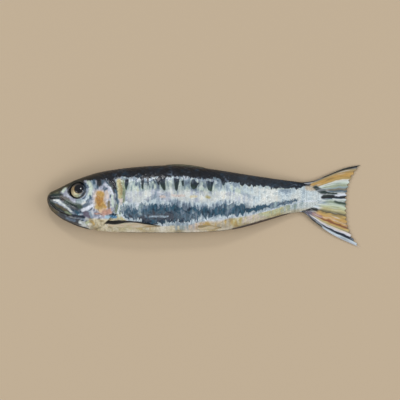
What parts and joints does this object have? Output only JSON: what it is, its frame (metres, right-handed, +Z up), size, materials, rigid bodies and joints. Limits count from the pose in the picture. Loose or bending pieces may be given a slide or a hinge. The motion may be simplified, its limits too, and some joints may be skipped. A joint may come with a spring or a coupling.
{
  "type": "whole raw sardine",
  "caption": "Whole raw sardine lying on its flank: slender silver body with a dark back, closed mouth, set-in eyes, gill opening, folded body fins and a spread forked tail fin.",
  "frame": {"origin": "centre of the footprint, on the surface that the fish lies on", "axes": "+X from the snout to the tail, +Y from the belly to the back, +Z up through the left flank"},
  "size_m": [0.19, 0.0506, 0.0197],
  "materials": {
    "skin": "wet silver scales, slate-blue band and blue-black back, clear mucus gloss",
    "eye": "wet glossy eye, pale gold iris round a black pupil"
  },
  "bodies": {
    "root": {"fish": "skin", "eye_left": "eye", "eye_right": "eye"}
  },
  "joints": []
}
